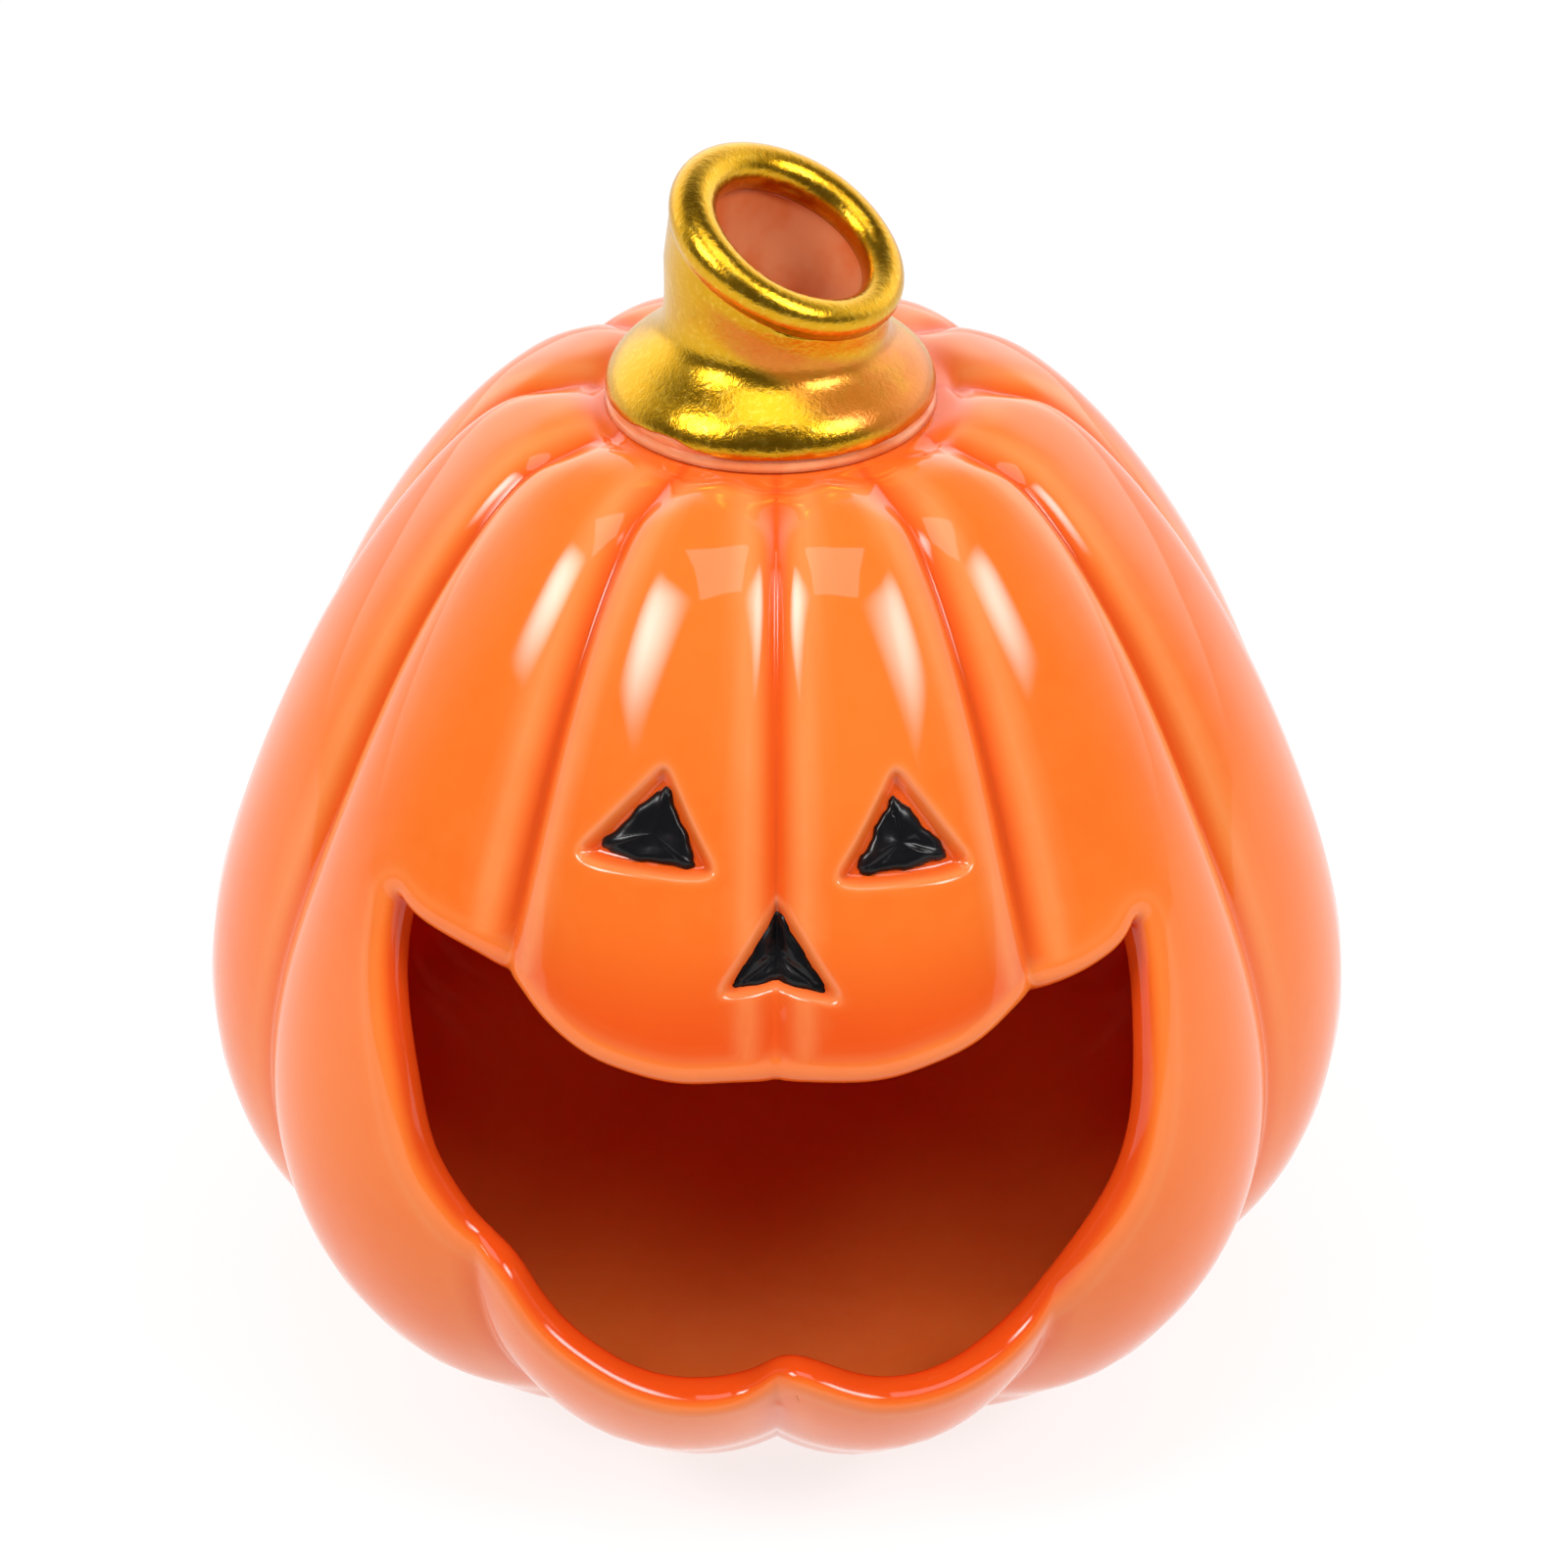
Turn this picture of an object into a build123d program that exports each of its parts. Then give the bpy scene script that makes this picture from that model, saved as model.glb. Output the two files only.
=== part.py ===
from build123d import *
from math import cos, radians, sin, sqrt
import os

# Ceramic pumpkin tealight figure. Millimetres, +Z up, the face looks along -Y.
# The origin is the centre of the foot, on the surface that the pumpkin stands on.

# ---- driving dimensions ----------------------------------------------------------
# The ten grooves between the ribs, as azimuths in degrees from the face, towards +X.
GROOVES = [1, 30, 61, 98, 138, 180, 222, 262, 297, 330]

# Outside of the body: height, radius in a groove, radius on the crest of a rib.
BODY = [
    (0.0, 31.0, 33.0),
    (2.5, 34.0, 37.5),
    (5.5, 37.2, 41.2),
    (9.0, 40.8, 45.2),
    (13.0, 44.9, 49.3),
    (18.0, 49.2, 53.2),
    (24.0, 53.0, 56.5),
    (33.0, 56.2, 59.3),
    (43.0, 57.0, 60.0),
    (55.0, 55.0, 58.0),
    (66.0, 51.0, 54.2),
    (77.0, 46.0, 49.3),
    (87.5, 40.6, 43.5),
    (95.5, 35.6, 38.0),
    (101.5, 31.0, 33.0),
    (105.0, 27.1, 29.0),
    (107.4, 20.2, 22.2),
]

# Inside of the body: the same ribs, softened, behind a wall of about 4 mm.
FLOOR_Z = 4.5
ROOF_Z = 103.2
CAVITY = [
    (FLOOR_Z, 31.0, 32.5),
    (9.0, 36.3, 39.0),
    (14.0, 41.2, 44.5),
    (20.0, 46.4, 49.6),
    (27.0, 50.6, 53.3),
    (36.0, 53.3, 55.7),
    (46.0, 53.6, 55.7),
    (58.0, 50.6, 52.8),
    (70.0, 45.7, 48.0),
    (82.0, 39.8, 42.0),
    (92.0, 34.0, 35.5),
    (98.0, 29.6, 30.6),
    (ROOF_Z, 22.0, 22.8),
]

# The grin. Its edge is cut square to the wall, so every cut line meets at one point
# on the axis. The outline gives x and z where the cut leaves the outside of the wall.
MOUTH_POINT_Z = 43.0
RIM_ROUND = 1.3
MOUTH_NEAR = 15.0
MOUTH_FAR = 75.0
TIP_LEFT = (-34.8, 72.7)
TIP_RIGHT = (34.4, 71.6)
UPPER_LIP_LEFT = [TIP_LEFT, (-30.2, 70.5), (-25.4, 68.4)]
UPPER_LIP = [(-25.4, 68.4), (-18.0, 65.4), (-9.0, 63.6), (0.9, 62.9), (9.0, 63.6), (18.0, 65.2), (25.0, 67.2)]
UPPER_LIP_RIGHT = [(25.0, 67.2), (30.0, 68.5), TIP_RIGHT]
LOWER_LIP = [
    TIP_RIGHT,
    (36.0, 62.0),
    (35.6, 50.0),
    (31.8, 39.8),
    (26.0, 31.6),
    (18.0, 27.4),
    (10.5, 26.6),
    (2.2, 28.8),
    (-6.5, 25.9),
    (-14.0, 28.2),
    (-21.0, 33.2),
    (-27.0, 39.8),
    (-32.0, 45.4),
    (-34.8, 54.0),
    (-35.9, 63.0),
    TIP_LEFT,
]

# Pressed-in eyes and nose: azimuth, height and radius of the middle, lean of the wall
# in degrees, then the triangle's corners in the plane of the wall.
LEFT_EYE = (-13.6, 84.5, 45.1, 28.0, [(-6.3, -2.7), (5.1, -2.7), (0.2, 5.9)])
RIGHT_EYE = (16.0, 84.0, 45.4, 28.0, [(-5.6, -2.5), (5.5, -3.4), (0.2, 6.2)])
NOSE = (1.4, 74.0, 47.8, 25.0, [(-4.6, -2.1), (4.5, -2.8), (0.0, 4.4)])
PRESS_DEPTH = 1.5
PAINT_EDGE = 0.7
PAINT_DEPTH = 0.8

# The stem: a bell that flares to the roof, a neck, and a rolled lip that leans.
BELL = [(16.3, 108.2), (15.7, 110.3), (14.2, 112.0), (12.2, 113.6), (11.1, 116.4)]
NECK_R = 10.9
NECK_Z = 115.0
BORE_R = 7.9
LIP_RING_R = 10.1
LIP_TUBE_R = 2.1
GILDING = 0.3
LIP_CENTRE = (1.1, 0.0, 123.7)
LIP_AXIS = (0.435, -0.222, 0.872)
BODY_TOP_Z = BODY[-1][0]

lip_plane = Plane(origin=LIP_CENTRE, z_dir=LIP_AXIS)


# ---- helpers ---------------------------------------------------------------------
def on_circle(radius, azimuth):
    """A point in a level plane, with azimuth 0 at the face and 90 at +X."""
    return (radius * sin(radians(azimuth)), -radius * cos(radians(azimuth)))


def rib_arcs(groove_r, crest_r):
    """Ten arcs, from groove to groove over the crest of each rib."""
    for start, end in zip(GROOVES, GROOVES[1:] + [GROOVES[0] + 360]):
        ThreePointArc(
            on_circle(groove_r, start),
            on_circle(crest_r, (start + end) / 2),
            on_circle(groove_r, end),
        )


def crest_radius(z):
    """Radius of the wall at a height, halfway between groove and crest."""
    for (z0, g0, c0), (z1, g1, c1) in zip(BODY, BODY[1:]):
        if z0 <= z <= z1:
            return (g0 + c0 + (g1 + c1 - g0 - c0) * (z - z0) / (z1 - z0)) / 2
    raise ValueError(z)


def cut_points(outline, distance):
    """The outline on the wall, carried along the cut lines to the plane y = -distance."""
    points = []
    for x, z in outline:
        scale = distance / sqrt(crest_radius(z) ** 2 - x**2)
        points.append((x * scale, MOUTH_POINT_Z + (z - MOUTH_POINT_Z) * scale))
    return points


def mouth_outline(distance):
    """The grin's four curves at one distance in front of the axis."""
    Spline(*cut_points(UPPER_LIP_LEFT, distance))
    Spline(*cut_points(UPPER_LIP, distance))
    Spline(*cut_points(UPPER_LIP_RIGHT, distance))
    Spline(*cut_points(LOWER_LIP, distance))


def is_cut_by_mouth(face):
    """True for the faces that lie along the cut lines."""
    along = (face.center() - Vector(0, 0, MOUTH_POINT_Z)).normalized()
    return abs(face.normal_at().dot(along)) < 0.3


def wall_plane(azimuth, z, radius, lean):
    """A plane that lies on the wall, with its y axis pointing up the slope."""
    a, t = radians(azimuth), radians(lean)
    x, y = on_circle(radius, azimuth)
    normal = (sin(a) * cos(t), -cos(a) * cos(t), sin(t))
    return Plane(origin=(x, y, z), x_dir=(cos(a), sin(a), 0), z_dir=normal)


def bell_profile(inset):
    """The bell's outline, moved in towards the axis."""
    return [(radius - inset, z - inset / 2) for radius, z in BELL]


# ---- the ceramic body ------------------------------------------------------------
with BuildPart() as pumpkin_body:
    for height, groove, crest in BODY:
        with BuildSketch(Plane.XY.offset(height)):
            with BuildLine():
                rib_arcs(groove, crest)
            make_face()
    loft()

    for height, groove, crest in CAVITY:
        with BuildSketch(Plane.XY.offset(height)):
            with BuildLine():
                rib_arcs(groove, crest)
            make_face()
    loft(mode=Mode.SUBTRACT)

    # The vent under the stem.
    with BuildSketch(Plane.XY.offset(BODY_TOP_Z)):
        Circle(BORE_R)
    extrude(amount=-8, mode=Mode.SUBTRACT)

    # The grin.
    for reach in (MOUTH_NEAR, MOUTH_FAR):
        with BuildSketch(Plane.XZ.offset(reach)):
            with BuildLine():
                mouth_outline(reach)
            make_face()
    loft(ruled=True, mode=Mode.SUBTRACT)

    # Its edges are rounded off inside and out, but not across the rim at the corners.
    rim = pumpkin_body.faces().filter_by(is_cut_by_mouth)
    rim_edges = rim.edges()
    fillet([edge for edge in rim_edges if rim_edges.count(edge) == 1], RIM_ROUND)

    # The eyes and the nose.
    for azimuth, height, radius, lean, corners in (LEFT_EYE, RIGHT_EYE, NOSE):
        pocket_floor = wall_plane(azimuth, height, radius, lean).offset(-PRESS_DEPTH)
        with BuildSketch(pocket_floor) as pocket:
            with BuildLine():
                Polyline(*corners, close=True)
            make_face()
            fillet(pocket.vertices(), 0.5)
        extrude(amount=6, taper=-8, mode=Mode.SUBTRACT)

# ---- the stem --------------------------------------------------------------------
with BuildPart() as stem:
    with BuildSketch(Plane.XZ):
        with BuildLine():
            bell_curve = Spline(*bell_profile(GILDING))
            bell_top, bell_edge = bell_curve @ 1, bell_curve @ 0
            Polyline(bell_top, (0, bell_top.Y), (0, BODY_TOP_Z), (bell_edge.X, BODY_TOP_Z), bell_edge)
        make_face()
    revolve(axis=Axis.Z)

    with BuildSketch(Plane.XY.offset(NECK_Z)):
        Circle(NECK_R - GILDING)
    with BuildSketch(lip_plane):
        Circle(LIP_RING_R + 0.6 - GILDING)
    loft()

    with BuildSketch(Plane.XY.offset(BODY_TOP_Z)):
        Circle(BORE_R)
    with BuildSketch(lip_plane.offset(3)):
        Circle(BORE_R)
    loft(mode=Mode.SUBTRACT)

    with Locations(lip_plane):
        Torus(LIP_RING_R, LIP_TUBE_R - GILDING)

# ---- the gold over the stem ------------------------------------------------------
with BuildPart() as stem_gilding:
    with BuildSketch(Plane.XZ):
        with BuildLine():
            gold_curve = Spline(*bell_profile(0))
            gold_top, gold_edge = gold_curve @ 1, gold_curve @ 0
            Polyline(gold_top, (0, gold_top.Y), (0, BODY_TOP_Z), (gold_edge.X, BODY_TOP_Z), gold_edge)
        make_face()
    revolve(axis=Axis.Z)

    with BuildSketch(Plane.XY.offset(NECK_Z)):
        Circle(NECK_R)
    with BuildSketch(lip_plane):
        Circle(LIP_RING_R + 0.6)
    loft()

    with BuildSketch(Plane.XY.offset(BODY_TOP_Z)):
        Circle(BORE_R)
    with BuildSketch(lip_plane.offset(3)):
        Circle(BORE_R)
    loft(mode=Mode.SUBTRACT)

    with Locations(lip_plane):
        Torus(LIP_RING_R, LIP_TUBE_R)

    add(stem.part, mode=Mode.SUBTRACT)

# ---- the black enamel in the eyes and the nose -----------------------------------
with BuildPart() as left_eye_paint:
    with BuildSketch(wall_plane(*LEFT_EYE[:4]).offset(-PRESS_DEPTH)) as left_eye_area:
        with BuildLine():
            Polyline(*LEFT_EYE[4], close=True)
        make_face()
        offset(amount=-PAINT_EDGE, kind=Kind.INTERSECTION)
        fillet(left_eye_area.vertices(), 0.5)
    extrude(amount=PAINT_DEPTH)

with BuildPart() as right_eye_paint:
    with BuildSketch(wall_plane(*RIGHT_EYE[:4]).offset(-PRESS_DEPTH)) as right_eye_area:
        with BuildLine():
            Polyline(*RIGHT_EYE[4], close=True)
        make_face()
        offset(amount=-PAINT_EDGE, kind=Kind.INTERSECTION)
        fillet(right_eye_area.vertices(), 0.5)
    extrude(amount=PAINT_DEPTH)

with BuildPart() as nose_paint:
    with BuildSketch(wall_plane(*NOSE[:4]).offset(-PRESS_DEPTH)) as nose_area:
        with BuildLine():
            Polyline(*NOSE[4], close=True)
        make_face()
        offset(amount=-PAINT_EDGE, kind=Kind.INTERSECTION)
        fillet(nose_area.vertices(), 0.5)
    extrude(amount=PAINT_DEPTH)

# ---- hand over -------------------------------------------------------------------
pumpkin_body.part.label = "pumpkin_body"
stem.part.label = "stem"
stem_gilding.part.label = "stem_gilding"
left_eye_paint.part.label = "left_eye_paint"
right_eye_paint.part.label = "right_eye_paint"
nose_paint.part.label = "nose_paint"

os.makedirs("parts", exist_ok=True)
export_step(pumpkin_body.part, "parts/pumpkin_body.step")
export_step(stem.part, "parts/stem.step")
export_step(stem_gilding.part, "parts/stem_gilding.step")
export_step(left_eye_paint.part, "parts/left_eye_paint.step")
export_step(right_eye_paint.part, "parts/right_eye_paint.step")
export_step(nose_paint.part, "parts/nose_paint.step")
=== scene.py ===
from math import cos, pi, radians, sin

import bmesh
import bpy
import numpy as np
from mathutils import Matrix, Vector
from mathutils.geometry import delaunay_2d_cdt


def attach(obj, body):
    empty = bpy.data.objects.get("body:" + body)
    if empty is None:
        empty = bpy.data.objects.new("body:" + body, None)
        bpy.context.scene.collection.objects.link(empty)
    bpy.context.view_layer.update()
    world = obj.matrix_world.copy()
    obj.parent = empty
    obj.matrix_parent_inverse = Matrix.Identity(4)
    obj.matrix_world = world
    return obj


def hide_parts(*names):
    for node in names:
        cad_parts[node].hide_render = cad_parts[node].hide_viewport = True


# A hollow ceramic pumpkin with a cut grin, pressed eyes and nose, and a gilded stem.
# The body and the enamel start as flat patterns: azimuth, place along the wall's
# outline, and depth in the wall. One Geometry Nodes tree wraps every pattern round
# the axis by the same rule, so the pieces fit each other.

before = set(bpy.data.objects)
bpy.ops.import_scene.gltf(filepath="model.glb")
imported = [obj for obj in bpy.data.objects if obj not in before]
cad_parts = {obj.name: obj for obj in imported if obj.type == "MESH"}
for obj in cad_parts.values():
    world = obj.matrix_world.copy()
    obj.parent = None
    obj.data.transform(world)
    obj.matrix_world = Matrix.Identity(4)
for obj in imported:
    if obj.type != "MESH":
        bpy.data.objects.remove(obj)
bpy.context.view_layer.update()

MM = 0.001

# ---- the pumpkin's wall -------------------------------------------------------------
# The grooves between the ten ribs, in degrees from the face towards +X.
GROOVES = [-180, -138, -98, -63, -30, 1, 30, 61, 98, 138, 180]

# From the middle of the base to the vent in the roof, in millimetres:
# outside groove radius, crest radius, height; inside groove radius, crest radius, height.
WALL = [
    (0.0, 0.0, 0.0, 0.0, 0.0, 4.6),
    (14.0, 14.0, 0.0, 13.4, 13.4, 4.6),
    (25.0, 26.0, 0.0, 24.0, 24.5, 4.6),
    (29.6, 31.4, 0.15, 28.3, 29.0, 4.8),
    (32.6, 35.2, 1.1, 31.0, 32.2, 5.6),
    (35.8, 39.5, 3.6, 33.6, 35.9, 7.2),
    (40.8, 45.2, 9.0, 37.9, 41.0, 11.4),
    (45.6, 49.9, 13.6, 42.3, 45.5, 15.4),
    (49.3, 53.3, 18.2, 45.9, 49.0, 19.5),
    (53.0, 56.5, 24.0, 49.5, 52.3, 24.9),
    (56.2, 59.3, 33.0, 52.7, 55.2, 33.3),
    (57.0, 60.0, 43.0, 53.6, 55.9, 42.9),
    (55.0, 58.0, 55.0, 51.7, 53.9, 54.0),
    (51.0, 54.2, 66.0, 47.9, 50.2, 64.3),
    (46.0, 49.3, 77.0, 43.2, 45.5, 74.8),
    (40.6, 43.5, 87.5, 38.0, 40.0, 85.0),
    (35.6, 38.0, 95.5, 33.2, 34.8, 92.5),
    (31.0, 33.2, 101.2, 28.9, 30.0, 97.8),
    (26.4, 28.8, 105.1, 24.8, 25.5, 101.5),
    (22.4, 24.8, 106.9, 20.8, 21.2, 103.0),
    (19.8, 21.6, 107.7, 18.4, 18.6, 103.3),
    (18.1, 19.0, 107.7, 17.2, 17.2, 103.4),
    (17.0, 17.4, 107.3, 16.4, 16.4, 103.4),
    (15.8, 15.8, 107.3, 15.4, 15.4, 103.4),
    (11.6, 11.6, 107.3, 11.2, 11.2, 103.4),
    (8.2, 8.2, 107.0, 8.2, 8.2, 103.6),
]
WALL_THICKNESS = 4.1

# How deep the glaze's colour is painted, as stored in the pooled attribute: over the rim, and on
# the inside, where it is redder as well. This deeper, redder colour is painted shade.
RIM_PAINTED_SHADE, INSIDE_PAINTED_SHADE = 1.25, 2.0

# How far from each groove the ribs stay curved, as a share of half a rib: near the stem
# and on the belly, where they are rounder.
SHOULDER_TOP, SHOULDER_BELLY = 0.72, 1.0

# ---- the grin -----------------------------------------------------------------------
# The lip's outermost line, as azimuth in degrees and height in millimetres, corner to
# corner: the left lobe, the front lobe, the right lobe, then the lower lip back again.
LIP_LINES = [
    [(-44.2, 72.6), (-41.6, 71.7), (-38.6, 71.0), (-34.4, 70.0), (-31.0, 68.9), (-29.6, 68.4)],
    [(-29.6, 68.4), (-27.6, 67.9), (-25.3, 67.1), (-21.0, 65.7), (-17.2, 64.7), (-13.0, 64.0),
     (-8.0, 63.4), (-3.6, 63.2), (1.0, 62.8), (5.0, 63.2), (9.5, 63.6), (14.2, 64.2), (18.0, 64.9),
     (22.4, 65.7), (26.4, 66.7), (28.8, 67.1)],
    [(28.8, 67.1), (31.6, 67.5), (35.0, 68.2), (38.5, 69.2), (40.8, 70.1), (43.0, 71.6)],
    [(43.0, 71.6), (42.8, 68.0), (42.0, 64.0), (40.6, 58.0), (38.9, 51.5), (36.4, 45.6), (33.4, 40.6),
     (30.6, 36.0), (27.6, 31.8), (22.4, 28.4), (17.0, 26.7), (11.4, 26.6), (6.6, 28.4), (2.4, 29.3),
     (-2.6, 26.2), (-8.0, 25.9), (-12.9, 27.6), (-17.4, 30.4), (-20.8, 32.8), (-24.0, 36.4),
     (-26.6, 39.4), (-29.8, 41.2), (-33.0, 44.6), (-35.6, 48.6), (-37.4, 53.0), (-39.2, 57.6),
     (-41.0, 61.6), (-42.8, 65.8), (-43.8, 69.4), (-44.2, 72.6)],
]
# Half the thickness of the rim, in millimetres.
LIP_HALF = 2.05

# ---- the pressed features -----------------------------------------------------------
# Middle as azimuth and height, then corners in millimetres across and up the wall.
EYES_AND_NOSE = {
    "left_eye": {
        "middle": (-13.6, 84.5),
        "pocket": [(-6.6, -2.8), (5.5, -2.9), (0.2, 6.3)],
        "paint": [(-5.5, -1.9), (4.2, -2.5), (0.4, 5.1)],
        "sway": (3, 0.4),
    },
    "right_eye": {
        "middle": (16.0, 84.0),
        "pocket": [(-6.0, -2.9), (5.9, -3.3), (0.2, 6.6)],
        "paint": [(-4.6, -2.4), (4.7, -2.1), (-0.1, 4.7)],
        "sway": (4, 1.7),
    },
    "nose": {
        "middle": (1.4, 73.8),
        "pocket": [(-5.0, -2.3), (5.0, -2.7), (0.0, 4.7)],
        "paint": [(-4.9, -2.3), (4.8, -2.7), (-0.1, 4.5)],
        "sway": (5, 3.1),
    },
}
# How deep the triangles are pressed, in millimetres, and how far each ring of a pocket
# stands out from its corners.
PRESS = 1.45
POCKET_RINGS = (1.7, 1.15, 0.75, 0.45, 0.15, -0.15, -0.45, -0.75, -1.1, -1.5)

# Rings of the enamel: how far each stands out, and how thick the enamel is there.
PAINT_RINGS = (
    (0.0, -0.12), (0.12, 0.10), (0.0, 0.30), (-0.3, 0.46), (-0.7, 0.52), (-1.2, 0.46), (-1.6, 0.40))
PAINT_MIDDLE, PAINT_UNDER = 0.34, 0.12

# ---- the stem -----------------------------------------------------------------------
# Rings round the skirt and the neck: the left and right ends of each, as x and height.
STEM = [
    ((-16.7, 108.4), (15.4, 108.4)),
    ((-16.85, 109.2), (15.5, 109.1)),
    ((-16.4, 110.5), (15.2, 110.3)),
    ((-15.3, 111.9), (14.3, 111.5)),
    ((-13.9, 113.1), (13.1, 112.4)),
    ((-12.6, 114.2), (11.9, 113.2)),
    ((-11.5, 115.6), (11.1, 114.1)),
    ((-11.0, 117.4), (10.8, 115.2)),
    ((-10.9, 119.6), (10.8, 116.2)),
    ((-10.9, 122.4), (10.8, 117.0)),
]
LIP_MIDDLE = np.array([1.13, 0.0, 123.7])
LIP_AXIS = np.array([0.435, -0.222, 0.872])
LIP_RING = 10.12
BORE = 7.9
STEM_COLUMNS = 160
STEM_TURN = np.linspace(0, 2 * pi, STEM_COLUMNS, endpoint=False)

# The angles round the lip's tube where its skin starts and ends, in degrees.
LIP_START, LIP_END = -40, 215

# Rings under the stem: radius, height, and how much of its lean to the left each takes.
STEM_FOOT = ((BORE, 107.35, 0), (12.0, 107.35, 0.5), (16.0, 107.35, 1), (16.3, 107.45, 1), (16.1, 107.9, 1))


# ---- curves and patterns ------------------------------------------------------------
def smooth_curve(knots, points, at):
    """A natural cubic through the points, read at the given places."""
    knots, points = np.asarray(knots, float), np.asarray(points, float)
    n, gap = len(knots), np.diff(np.asarray(knots, float))
    rows, right = np.eye(n), np.zeros(points.shape)
    slope = np.diff(points, axis=0) / gap[:, None]
    for i in range(1, n - 1):
        rows[i, i - 1:i + 2] = gap[i - 1], 2 * (gap[i - 1] + gap[i]), gap[i]
        right[i] = 6 * (slope[i] - slope[i - 1])
    bend = np.linalg.solve(rows, right)
    at = np.clip(np.asarray(at, float), knots[0], knots[-1])
    i = np.clip(np.searchsorted(knots, at, side="right") - 1, 0, n - 2)
    h, a = gap[i][:, None], ((knots[i + 1] - at) / gap[i])[:, None]
    b = 1 - a
    return a * points[i] + b * points[i + 1] + ((a**3 - a) * bend[i] + (b**3 - b) * bend[i + 1]) * h**2 / 6


wall = np.array(WALL)
mid_line = np.column_stack([(wall[:, 0] + wall[:, 1]) / 2, wall[:, 2]])
wall_knots = np.concatenate([[0], np.cumsum(np.hypot(*np.diff(mid_line, axis=0).T))])
WALL_LENGTH = wall_knots[-1]


def wall_at(along):
    """The wall's six dimensions at places along its outline."""
    return smooth_curve(wall_knots, wall, along)


side = np.linspace(40, WALL_LENGTH - 25, 800)
side_height = wall_at(side)[:, 2]


def along_at_height(height):
    return np.interp(height, side_height, side)


def radius_at(along):
    return np.maximum(wall_at(along)[:, :2].mean(axis=1), 1.0)


def rib_place(azimuth):
    """Share of the way from groove to crest, and the angle from the nearest groove."""
    grooves = np.radians(GROOVES)
    turn = np.clip(azimuth, grooves[0], grooves[-1])
    rib = np.clip(np.searchsorted(grooves, turn, side="right") - 1, 0, len(grooves) - 2)
    start, end = grooves[rib], grooves[rib + 1]
    near = np.minimum(turn - start, end - turn)
    return near / ((end - start) / 2), near


def evened(points, spacing, turning, closed=True):
    """The same closed line with points spaced by length and closer on tight bends."""
    dense = []
    count = len(points)
    for i in range(count):
        a, b = points[i], points[(i + 1) % count]
        steps = max(1, int(np.hypot(*(b - a)) / 0.12))
        dense.extend(a + (b - a) * k / steps for k in range(steps))
    dense = np.array(dense)
    for _ in range(12):
        dense = (np.roll(dense, 1, 0) + 2 * dense + np.roll(dense, -1, 0)) / 4
    step = np.roll(dense, -1, 0) - dense
    length = np.hypot(step[:, 0], step[:, 1])
    heading = np.arctan2(step[:, 1], step[:, 0])
    bend = np.abs((heading - np.roll(heading, 1) + pi) % (2 * pi) - pi)
    for _ in range(10):
        bend = (np.roll(bend, 1) + bend + np.roll(bend, -1)) / 3
    weight = length / spacing + bend / turning
    total = np.concatenate([[0], np.cumsum(weight)])
    wanted = np.linspace(0, total[-1], int(total[-1]) + 1)[:-1]
    ring = np.vstack([dense, dense[:1]])
    return np.column_stack([np.interp(wanted, total, ring[:, k]) for k in range(2)])


def outward(points, smoothing):
    """Unit directions away from the inside of a closed line, whichever way it runs."""
    ahead = np.roll(points, -1, 0) - np.roll(points, 1, 0)
    normal = np.column_stack([ahead[:, 1], -ahead[:, 0]])
    area = np.sum(points[:, 0] * np.roll(points[:, 1], -1) - points[:, 1] * np.roll(points[:, 0], -1))
    normal *= np.sign(area)
    length = np.hypot(*(np.roll(points, -1, 0) - points).T)
    normal /= np.hypot(normal[:, 0], normal[:, 1])[:, None]
    for _ in range(smoothing):
        normal = (np.roll(normal, 1, 0) * np.roll(length, 1)[:, None] + normal * length[:, None]
                  + np.roll(normal, -1, 0) * length[:, None])
        normal /= np.hypot(normal[:, 0], normal[:, 1])[:, None]
    return normal


def inside(points, line):
    """Which points lie inside a closed line."""
    result = np.zeros(len(points), bool)
    a, b = line, np.roll(line, -1, 0)
    for (x0, y0), (x1, y1) in zip(a, b):
        crosses = (y0 > points[:, 1]) != (y1 > points[:, 1])
        if y1 != y0:
            result ^= crosses & (points[:, 0] < (x1 - x0) * (points[:, 1] - y0) / (y1 - y0) + x0)
    return result


def distance(points, line):
    """Distance from each point to the nearest point of a line."""
    best = np.full(len(points), 1e9)
    for start in range(0, len(line), 64):
        part = line[start:start + 64]
        gap = np.hypot(points[:, None, 0] - part[None, :, 0], points[:, None, 1] - part[None, :, 1])
        best = np.minimum(best, gap.min(axis=1))
    return best


# The flat pattern's x is azimuth times this, so that it is near millimetres at the side.
PATTERN_R = 50.0


def ease(value, low, high):
    """0 at low, 1 at high, and smooth between; low may be the larger."""
    t = np.clip((value - low) / (high - low), 0, 1)
    return t * t * (3 - 2 * t)


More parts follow.
